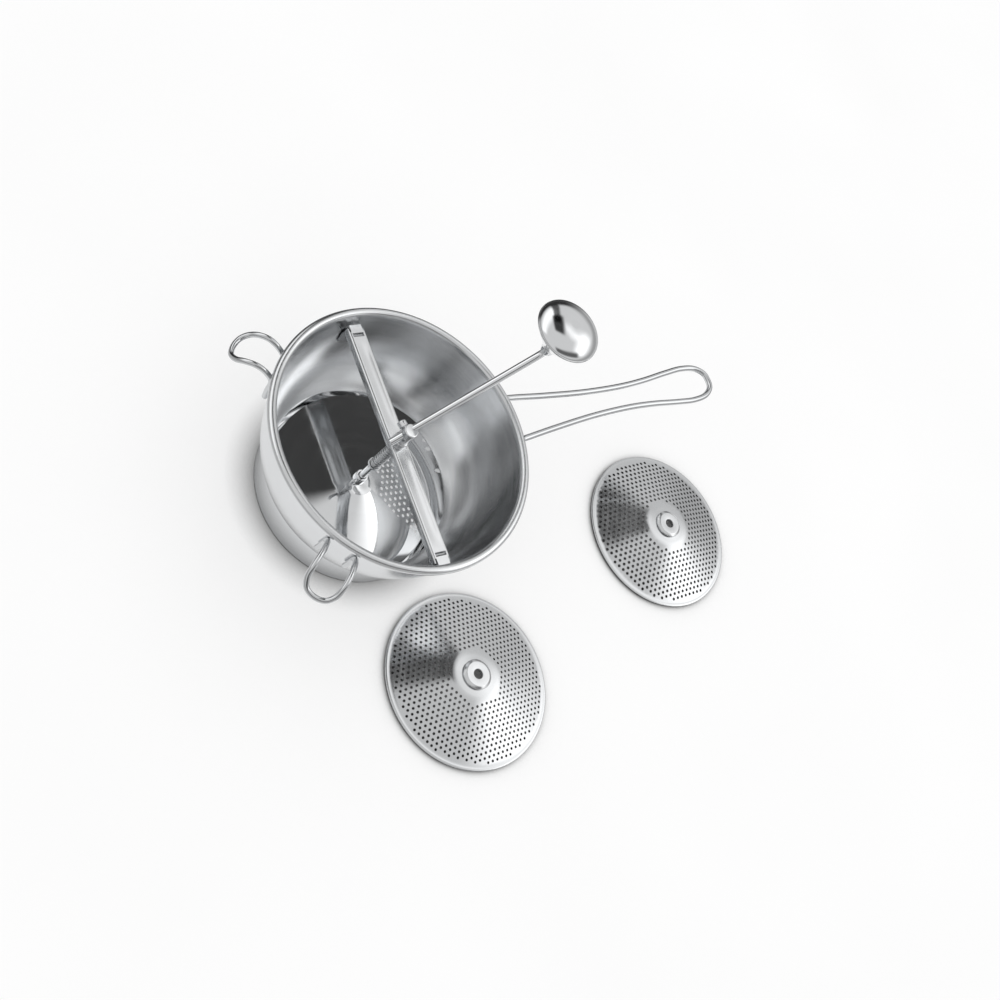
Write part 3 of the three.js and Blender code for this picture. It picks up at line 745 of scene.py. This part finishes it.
def washer(bottom, top, radius=WASHER_RADIUS):
    inner = BORE_RADIUS
    corners = [(inner, bottom, 0.2), (radius, bottom, 0.4), (radius, top, 0.4), (inner, top, 0.2)]
    return turned(corners, 72)


piece(
    "washer_upper",
    washer(UPPER_WASHER_BOTTOM, UPPER_WASHER_TOP),
    PLAIN_STEEL,
    "bridge",
    ["spring_upper_washer"],
)
piece(
    "washer_lower",
    washer(SPRING_PIN_HEIGHT + PIN_RADIUS + 0.3, SPRING_BOTTOM - 0.3),
    PLAIN_STEEL,
    "spring_carrier",
    ["spring_lower_washer"],
)


def spring_path():
    """The first and last turns are wound close, and the turns between them are open."""
    bottom = SPRING_BOTTOM + SPRING_WIRE_RADIUS
    top = SPRING_TOP - SPRING_WIRE_RADIUS
    close_rise = 2 * SPRING_WIRE_RADIUS * 1.05
    heights = [bottom, bottom + close_rise, top - close_rise, top]
    points = []
    count = SPRING_TURNS * 24
    for i in range(count + 1):
        turn = SPRING_TURNS * i / count
        height = np.interp(turn, [0, 1, SPRING_TURNS - 1, SPRING_TURNS], heights)
        points.append(at_azimuth(SPRING_RADIUS, 360 * turn, height))
    return points


spring = piece(
    "spring_coil",
    tube(spring_path(), SPRING_WIRE_RADIUS, 12),
    SPRING_STEEL,
    "bridge",
    ["spring"],
)
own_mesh(spring)

# ---------------------------------------------------------------- drive


def drive(name, shape, material, nodes, origin=AXIS, crease=35):
    return piece(name, shape, material, "rotor", nodes, origin, crease)


def cross_pin(height, half_length, azimuth=0):
    ends = 0.4
    path = [at_azimuth(r, azimuth, height) for r in np.linspace(ends - half_length, half_length - ends, 9)]
    return tube(path, PIN_RADIUS, 24, cap_depth=ends / PIN_RADIUS)


drive(
    "drive_shaft",
    turned(
        [
            (0, SHAFT_BOTTOM),
            (SHAFT_RADIUS, SHAFT_BOTTOM, 1.2),
            (SHAFT_RADIUS, SHAFT_TOP, 0.5),
            (0, SHAFT_TOP),
        ],
        72,
        closed=False,
    ),
    ARM_STEEL,
    ["shaft"],
)
drive("pin_under_spring", cross_pin(SPRING_PIN_HEIGHT, 5.8), PLAIN_STEEL, ["spring_pin"])
drive("pin_in_hub", cross_pin(HUB_PIN_HEIGHT, 9, HUB_PIN_AZIMUTH), PLAIN_STEEL, ["blade_hub_pin"])
drive(
    "hub_tube",
    turned(
        [
            (BORE_RADIUS, HUB_TUBE_BOTTOM, 0.3),
            (HUB_TUBE_RADIUS, HUB_TUBE_BOTTOM, 0.4),
            (HUB_TUBE_RADIUS, HUB_TUBE_TOP, 0.8),
            (BORE_RADIUS, HUB_TUBE_TOP, 0.4),
        ],
        96,
    ),
    MIRROR_STEEL,
    ["blade_hub"],
)


def blade_height(radius, azimuth):
    """Tilted plane from the leading edge to the fold, then down to the sieve's cone at the trailing edge."""

    def plane(angle):
        return BLADE_HUB_HEIGHT + BLADE_SLOPE * radius * math.cos(math.radians(angle))

    if azimuth <= BLADE_FOLD:
        return plane(azimuth)
    pressed = PRESSED_HEIGHT - PRESSED_SLOPE * max(0.0, radius - 15)
    share = (azimuth - BLADE_FOLD) / (BLADE_TRAILING_EDGE - BLADE_FOLD)
    return lerp(plane(BLADE_FOLD), pressed, share)


def blade_shape():
    before = np.linspace(BLADE_LEADING_EDGE, BLADE_FOLD, 80)
    after = np.linspace(BLADE_FOLD, BLADE_TRAILING_EDGE, 72)[1:]
    radii = [HUB_TUBE_RADIUS + 0.1, 8, 10, 12, 15, 17, 20, *np.linspace(24, BLADE_RADIUS, 22)]
    grid = []
    for azimuth in [*before, *after]:
        grid.append([at_azimuth(r, azimuth, blade_height(r, azimuth)) for r in radii])
    return plate(grid, BLADE_SHEET)


drive("blade", blade_shape(), MIRROR_STEEL, ["blade_plate"], crease=7)

arm_tan = math.tan(math.radians(ARM_RISE))


def arm_point(radius):
    aside = Vector(at_azimuth(ARM_OFFSET, ARM_AZIMUTH + 90, 0))
    return Vector(at_azimuth(radius, ARM_AZIMUTH, ARM_HEIGHT + radius * arm_tan)) + aside


def arm_path():
    start, near = arm_point(-ARM_TAIL + 0.6), arm_point(KNOB_REACH - 8)
    bend = arm_point(KNOB_REACH)
    end = Vector((bend.x, bend.y, KNOB_BOTTOM - 3.4))
    line = [start.lerp(near, i / 30) for i in range(30)]
    curve = [near.lerp(bend, i / 12).lerp(bend.lerp(end, i / 12), i / 12) for i in range(13)]
    return [tuple(p) for p in line + curve]


drive("crank_rod", tube(arm_path(), ARM_RADIUS, 32, cap_depth=0.2), ARM_STEEL, ["crank_arm"])
drive(
    "crank_hub",
    turned(
        [
            (0, SHAFT_TOP + 0.3),
            (BORE_RADIUS, SHAFT_TOP + 0.3),
            (BORE_RADIUS, HEAD_BOTTOM, 0.3),
            (HEAD_RADIUS, HEAD_BOTTOM, 1.0),
            (HEAD_RADIUS, HEAD_TOP, 1.2),
            (0, HEAD_TOP),
        ],
        96,
        closed=False,
    ),
    KNOB_STEEL,
    ["crank_head"],
)


def lock_screw_shape():
    """Drawn upright, then laid level across the arm."""
    start = ARM_OFFSET + ARM_RADIUS + 0.3
    head = HEAD_RADIUS + 0.3
    end = head + SCREW_HEAD_LENGTH
    corners = [
        (0, start),
        (SCREW_RADIUS, start),
        (SCREW_RADIUS, head),
        (SCREW_HEAD_RADIUS, head, 0.4),
        (SCREW_HEAD_RADIUS, end, 1.2),
        (0, end),
    ]
    verts, faces = turned(corners, 64, closed=False)
    across_arm = Matrix.Rotation(math.radians(ARM_AZIMUTH + 90), 3, "Z")
    laid = across_arm @ Matrix.Rotation(math.radians(90), 3, "Y")
    centre = Vector((0, 0, ARM_HEIGHT - 1))
    return [laid @ Vector(v) + centre for v in verts], faces


drive("crank_screw", lock_screw_shape(), KNOB_STEEL, ["crank_lock_screw"])

# ---------------------------------------------------------------- knob

drive(
    "spindle",
    turned(
        [
            (0, KNOB_BOTTOM - 2.6),
            (SPINDLE_RADIUS, KNOB_BOTTOM - 2.6),
            (SPINDLE_RADIUS, SPINDLE_HEAD),
            (SPINDLE_HEAD_RADIUS, SPINDLE_HEAD, 0.3),
            (SPINDLE_HEAD_RADIUS, SPINDLE_HEAD + 2.2, 0.8),
            (0, SPINDLE_HEAD + 2.6),
        ],
        48,
        closed=False,
    ),
    PLAIN_STEEL,
    ["knob_spindle"],
    KNOB_AXIS,
)
drive(
    "collar",
    turned(
        [
            (COLLAR_BORE_RADIUS, KNOB_BOTTOM - 2.4, 0.2),
            (COLLAR_RADIUS, KNOB_BOTTOM - 2.4, 0.6),
            (COLLAR_RADIUS, KNOB_BOTTOM - 0.3, 0.6),
            (COLLAR_BORE_RADIUS, KNOB_BOTTOM - 0.3, 0.2),
        ],
        72,
    ),
    KNOB_STEEL,
    ["knob_collar"],
    KNOB_AXIS,
)


def knob_part(name, shape, material, nodes):
    return piece(name, shape, material, "knob", nodes, KNOB_AXIS, crease=40)


def knob_outline(points, bottom, per_span):
    """A smooth line through points of radius and height above the bottom."""
    return [(max(0.0, r), bottom + rise) for r, rise in smooth_through(points, per_span)]


def shell_outline():
    seam = KNOB_SEAM - KNOB_BOTTOM
    outside = [(6.2, 0), (6.8, 3.4), (8.8, 7), (11.8, 10.2), (15.3, 14.2), (19.7, 19.6), (24.6, 25.6)]
    outside += [(KNOB_RADIUS - 0.9, 30.2), (KNOB_RADIUS - 0.1, seam - 0.5), (KNOB_RADIUS - 0.4, seam)]
    inside = [(KNOB_RADIUS - 1.6, seam), (KNOB_RADIUS - 2.8, 29.4), (23.2, 25.9), (18.4, 20)]
    inside += [(14.1, 14.8), (10.6, 10.9), (7.4, 7.5), (5.4, 3.8), (5, 0)]
    return knob_outline(outside, KNOB_BOTTOM, 8) + knob_outline(inside, KNOB_BOTTOM, 6)


def cap_outline():
    inside = [(0, 9.9), (11, 9), (18.8, 6.9), (24, 4), (KNOB_RADIUS - 1.6, 0.3)]
    outside = [(KNOB_RADIUS - 0.4, 0.3), (KNOB_RADIUS - 0.7, 1.5), (25.6, 4.5), (19.6, 8), (11.4, 10.3)]
    outside += [(4, 11.1), (0, 11.15)]
    return knob_outline(inside, KNOB_SEAM, 6) + knob_outline(outside, KNOB_SEAM, 8)


knob_part("knob_lower", lathe(shell_outline(), 144), KNOB_STEEL, ["knob_shell"])
knob_part("knob_dome", lathe(cap_outline(), 144), KNOB_STEEL, ["knob_cap"])
knob_part("knob_bearing", washer(KNOB_BOTTOM + 0.3, SPINDLE_HEAD - 0.3, 4.7), PLAIN_STEEL, ["knob_bush"])

# ---------------------------------------------------------------- sieve discs


def sieve_top(radius):
    rim_top = SIEVE_FOOT_HEIGHT + SIEVE_SHEET
    zone_top = rim_top + SIEVE_CONE_RISE
    radii = [SIEVE_BORE_RADIUS, SIEVE_HUB_ZONE_RADIUS, SIEVE_BAND_RADIUS, SIEVE_RADIUS - 0.6, SIEVE_RADIUS]
    return float(np.interp(radius, radii, [zone_top + 1.4, zone_top, rim_top, rim_top, rim_top - 0.3]))


def hole_centres(pitch, hole_radius):
    """A staggered pattern over the cone, and the places between the holes, which keep the mesh even."""
    near = SIEVE_HUB_ZONE_RADIUS + hole_radius + 1.2
    far = SIEVE_BAND_RADIUS - hole_radius - 1.0
    holes, between = [], []
    row_height = pitch * math.sqrt(3) / 2
    rows = int(SIEVE_RADIUS / row_height) + 1
    for row in range(-rows, rows + 1):
        for column in range(-rows, rows + 1):
            x, y = (column + 0.5 * (row % 2)) * pitch, row * row_height
            if near <= math.hypot(x, y) <= far:
                holes.append((x, y))
            elif near - hole_radius < math.hypot(x, y) < far + hole_radius:
                between.append((x, y))
            for rise in (1, -1):
                u, v = x + pitch / 2, y + rise * pitch / math.sqrt(12)
                if near - hole_radius + 0.4 < math.hypot(u, v) < far + hole_radius - 0.2:
                    between.append((u, v))
    return holes, between


def perforated(hole_radius, pitch, sides):
    """The disc's sheet, with every hole cut right through."""
    rings = [
        (SIEVE_BORE_RADIUS, 40),
        (9, 40),
        (14, 56),
        (18.5, 72),
        (SIEVE_HUB_ZONE_RADIUS, 96),
        (SIEVE_BAND_RADIUS, 192),
        (79, 192),
        (SIEVE_RADIUS - 0.6, 192),
        (SIEVE_RADIUS, 192),
    ]
    holes, between = hole_centres(pitch, hole_radius)
    points, edges = [], []

    def add_loop(cx, cy, radius, count):
        start = len(points)
        for i in range(count):
            angle = 2 * math.pi * i / count
            points.append(Vector((cx + radius * math.cos(angle), cy + radius * math.sin(angle))))
            edges.append((start + i, start + (i + 1) % count))

    for radius, count in rings:
        add_loop(0, 0, radius, count)
    for x, y in holes:
        add_loop(x, y, hole_radius, sides)
    gap = hole_radius + 0.4
    for x, y in between:
        if all((x - u) ** 2 + (y - v) ** 2 > gap**2 for u, v in holes):
            points.append(Vector((x, y)))
    made, _, triangles, _, _, _ = delaunay_2d_cdt(points, edges, [], 0, 1e-5)
    grid = {}
    for x, y in holes:
        grid.setdefault((round(x / pitch), round(y / pitch)), []).append((x, y))

    def in_hole(centre):
        column, row = round(centre.x / pitch), round(centre.y / pitch)
        for i in (-1, 0, 1):
            for j in (-1, 0, 1):
                for x, y in grid.get((column + i, row + j), []):
                    if math.hypot(centre.x - x, centre.y - y) < hole_radius:
                        return True
        return centre.length < SIEVE_BORE_RADIUS * 0.99

    faces = [(a, b, c) for a, b, c in triangles if not in_hole((made[a] + made[b] + made[c]) / 3)]
    used, faces = renumbered(faces)
    top = [(made[v].x, made[v].y, sieve_top(made[v].length)) for v in used]
    bottom = [(x, y, z - SIEVE_SHEET) for x, y, z in top]
    return thick_sheet(top, bottom, faces)


def foot_shape():
    """A short tab bent down from the rim."""
    line = [Vector((78.6, z)) for z in (0.05, 0.9, 1.8, 2.6, 3.2)]
    width = [lerp(0.82, 1.0, min(1.0, p.y / 1.2)) for p in line]
    grid = []
    for p, share in zip(line, width):
        grid.append([at_azimuth(p.x, share * angle, p.y) for angle in np.linspace(-3.6, 3.6, 7)])
    return plate(grid, 1.1)


def boss_shape():
    base = SIEVE_FOOT_HEIGHT + SIEVE_SHEET + SIEVE_CONE_RISE + 1.7
    return turned(
        [
            (SIEVE_BORE_RADIUS, base),
            (SIEVE_BOSS_RADIUS, base - 0.6, 0.2),
            (SIEVE_BOSS_RADIUS, base + 1.2, 0.8),
            (SIEVE_BOSS_RADIUS - 2.6, base + 2.5, 1.2),
            (SIEVE_BORE_RADIUS, base + 2.5, 0.6),
        ],
        96,
    )


def sieve(name, height, origin, hole_radius, pitch, sides):
    feet = [turned_about_z(foot_shape(), 45 + 90 * i) for i in range(4)]
    lift = Vector((0, 0, height * MM))
    place = origin + lift
    sheet = joined(perforated(hole_radius, pitch, sides), *feet)
    piece(name + "_sheet", sheet, SIEVE_STEEL, name, [name + "_plate"], place, 30)
    piece(name + "_ring", boss_shape(), PLAIN_STEEL, name, [name + "_boss"], place)


sieve("fitted_sieve", FITTED_SIEVE_HEIGHT, AXIS, hole_radius=1.55, pitch=6.2, sides=16)
sieve("spare_sieve_1", 0, centre_of("spare_sieve_1_plate"), hole_radius=1.5, pitch=5.5, sides=14)
sieve("spare_sieve_2", 0, centre_of("spare_sieve_2_plate"), hole_radius=1.25, pitch=5.0, sides=12)

# ---------------------------------------------------------------- floor, light and camera

# The floor's colour, and the light that it gives off, which makes it as white as the backdrop.
FLOOR_TONE = 0.51
FLOOR_GLOW = 0.5
# In reflections only, the floor is painted pale near the object and dark further out, a painted reflection
# of a room that is dark on one side and grey on the others.
FLOOR_PALE_REACH = 0.3
FLOOR_DARK_REACH = 0.5
ROOM_DARK = 0.95
ROOM_GREY = 0.45
ROOM_DARK_AZIMUTH = 75
# The cosines of the angle from the dark side's middle at which the room starts to darken, and is fully dark.
ROOM_EDGE = (0.62, 0.88)
FLOOR_HALF_WIDTH = 6.0
# How far up the floor looks for a piece under which it paints a contact shadow, in metres, and the shares of
# open space overhead at which that painted shadow is black and at which the floor is pale.
PAINTED_SHADOW_REACH = 0.03
PAINTED_SHADOW_BLACK = 0.3
PAINTED_SHADOW_PALE = 0.95


def room_shade(tree, way):
    """How much of the light the room takes away in a level direction, given as a vector."""
    azimuth = math.radians(ROOM_DARK_AZIMUTH)
    dark_side = (math.cos(azimuth), math.sin(azimuth), 0)
    level = add_node(tree, "ShaderNodeVectorMath", {0: way}, operation="NORMALIZE")
    towards = vector_maths(tree, "DOT_PRODUCT", level, dark_side, 1)
    return ranged(tree, towards, *ROOM_EDGE, ROOM_GREY, ROOM_DARK, smooth=True)


def floor():
    mesh = bpy.data.meshes.new("floor")
    half = FLOOR_HALF_WIDTH
    corners = [(-half, -half, 0), (half, -half, 0), (half, half, 0), (-half, half, 0)]
    mesh.from_pydata(corners, [], [(0, 1, 2, 3)])
    material = bpy.data.materials.new("floor_paper")
    material.use_nodes = True
    tree = material.node_tree
    shader = tree.nodes["Principled BSDF"]
    place = add_node(tree, "ShaderNodeTexCoord", output=3)
    away = vector_maths(tree, "LENGTH", place, (0, 0, 0), 1)
    beyond = ranged(tree, away, FLOOR_PALE_REACH, FLOOR_DARK_REACH, 0, 1, smooth=True)
    # In reflections, the floor's colour and glow are painted darker away from the object, a painted
    # reflection of a dark room.
    in_reflection = add_node(tree, "ShaderNodeLightPath").node.outputs["Is Glossy Ray"]
    dark = maths(tree, "MULTIPLY", beyond, room_shade(tree, place))
    pale = maths(tree, "SUBTRACT", 1.0, maths(tree, "MULTIPLY", dark, in_reflection))
    # The floor's colour and glow are painted darker close under a piece, a painted contact shadow, but not
    # under the mill's mouth, so its sieve's holes look light.
    overhead = add_node(tree, "ShaderNodeAmbientOcclusion", {"Distance": PAINTED_SHADOW_REACH}, 1, samples=4)
    from_axis = vector_maths(tree, "DISTANCE", place, tuple(AXIS), 1)
    under_mouth = maths(tree, "LESS_THAN", from_axis, MOUTH_RADIUS * MM)
    clear_of_painted_shadow = ranged(tree, overhead, PAINTED_SHADOW_BLACK, PAINTED_SHADOW_PALE, 0, 1)
    clear_of_painted_shadow = maths(tree, "MAXIMUM", clear_of_painted_shadow, under_mouth)
    pale = maths(tree, "MULTIPLY", pale, clear_of_painted_shadow)
    tone = ranged(tree, noise(tree, place, 3, 2.0), 0.3, 0.7, FLOOR_TONE - 0.01, FLOOR_TONE + 0.01)
    tone = maths(tree, "MULTIPLY", tone, pale)
    colour = add_node(tree, "ShaderNodeCombineColor", {0: tone, 1: tone, 2: tone})
    tree.links.new(colour, shader.inputs["Base Color"])
    tree.links.new(maths(tree, "MULTIPLY", pale, FLOOR_GLOW), shader.inputs["Emission Strength"])
    shader.inputs["Emission Color"].default_value = (1, 1, 1, 1)
    shader.inputs["Roughness"].default_value = 0.9
    shader.inputs["Specular IOR Level"].default_value = 0.1
    mesh.materials.append(material)
    made = bpy.data.objects.new("floor", mesh)
    bpy.context.scene.collection.objects.link(made)


def direction(azimuth, elevation):
    a, e = math.radians(azimuth), math.radians(elevation)
    return Vector((math.cos(a) * math.cos(e), math.sin(a) * math.cos(e), math.sin(e)))


def panel(tree, ray, azimuth, elevation, half_width, half_height, soft):
    """1 inside a rectangle of the sky, as seen from the object, and 0 outside it."""
    middle = direction(azimuth, elevation)
    sideways = Vector((-math.sin(math.radians(azimuth)), math.cos(math.radians(azimuth)), 0))
    upward = middle.cross(sideways)
    ahead = vector_maths(tree, "DOT_PRODUCT", ray, middle, 1)
    ahead = maths(tree, "MAXIMUM", ahead, 0.001)
    inside = None
    for along, half in ((sideways, half_width), (upward, half_height)):
        offset = maths(tree, "DIVIDE", vector_maths(tree, "DOT_PRODUCT", ray, along, 1), ahead)
        offset = maths(tree, "ABSOLUTE", offset)
        edge = math.tan(math.radians(half))
        share = ranged(tree, offset, edge - soft, edge + soft, 1, 0, smooth=True)
        inside = share if inside is None else maths(tree, "MULTIPLY", inside, share)
    return inside


# Azimuth, elevation, half width and half height in degrees, the edge's softness, and the brightness added.
LIGHT_PANELS = [
    (-25, 43, 22, 13, 0.2, 0.95),
    (110, 42, 36, 13, 0.15, 0.6),
    (16, 60, 10, 7, 0.1, 0.45),
]
# The same, with the share of the sky's brightness taken away.
DARK_CARDS = [
    (-97, 43, 32, 12, 0.12, 0.82),
    (64, 63, 11, 16, 0.07, 0.93),
    (63, 36, 7, 24, 0.05, 0.85),
]
# Below the first elevation, in degrees, the steel reflects a dark room, and above the second the sky.
HORIZON = (10, 24)
# The brightness of the sky that the steel reflects, of the light on dull things, and of the backdrop.
SKY = 0.7
AMBIENT = 0.95
BACKDROP = 1.0


def light():
    """A white backdrop, an even ambient light, and panels and cards that only reflections see."""
    world = bpy.data.worlds.new("studio")
    world.use_nodes = True
    world.cycles.sampling_method = "NONE"
    bpy.context.scene.world = world
    tree = world.node_tree
    ray = add_node(tree, "ShaderNodeTexCoord", output=0)
    sky = None
    for *place, gain in LIGHT_PANELS:
        lit = maths(tree, "MULTIPLY", panel(tree, ray, *place), gain)
        sky = maths(tree, "ADD", lit, SKY if sky is None else sky)
    for *place, loss in DARK_CARDS:
        shade = maths(tree, "MULTIPLY", panel(tree, ray, *place), -loss)
        sky = maths(tree, "MULTIPLY", sky, maths(tree, "ADD", shade, 1.0))
    height = add_node(tree, "ShaderNodeSeparateXYZ", {0: ray}, 2)
    low, high = (math.sin(math.radians(elevation)) for elevation in HORIZON)
    near_horizon = ranged(tree, height, low, high, 1, 0, smooth=True)
    shade = maths(tree, "MULTIPLY", near_horizon, room_shade(tree, ray))
    sky = maths(tree, "MULTIPLY", sky, maths(tree, "SUBTRACT", 1.0, shade))
    path = add_node(tree, "ShaderNodeLightPath").node
    strength = sky
    for kind, level in (("Is Diffuse Ray", AMBIENT), ("Is Camera Ray", BACKDROP)):
        inputs = {"Factor": path.outputs[kind], "A": strength, "B": level}
        strength = add_node(tree, "ShaderNodeMix", inputs, data_type="FLOAT")
    background = tree.nodes["Background"]
    background.inputs["Color"].default_value = (1, 1, 1, 1)
    tree.links.new(strength, background.inputs["Strength"])


# The camera's place and the point that it looks at, in metres from the foot of the crank axis, its roll in
# degrees, and its lens and sensor in millimetres.
CAMERA_PLACE = (-0.66835, -0.31468, 1.05284)
CAMERA_TARGET = (0.11907, -0.05456, 0.05)
CAMERA_ROLL = 53.28
LENS = 51.65
SENSOR_WIDTH = 36


def camera():
    data = bpy.data.cameras.new("camera")
    data.lens = LENS
    data.sensor_width = SENSOR_WIDTH
    made = bpy.data.objects.new("camera", data)
    place = AXIS + Vector(CAMERA_PLACE)
    target = AXIS + Vector(CAMERA_TARGET)
    look = (target - place).to_track_quat("-Z", "Y").to_matrix()
    turn = look @ Matrix.Rotation(math.radians(CAMERA_ROLL), 3, "Z")
    made.matrix_world = Matrix.Translation(place) @ turn.to_4x4()
    bpy.context.scene.collection.objects.link(made)
    bpy.context.scene.camera = made


floor()
light()
camera()
bpy.context.scene.view_settings.view_transform = "Standard"
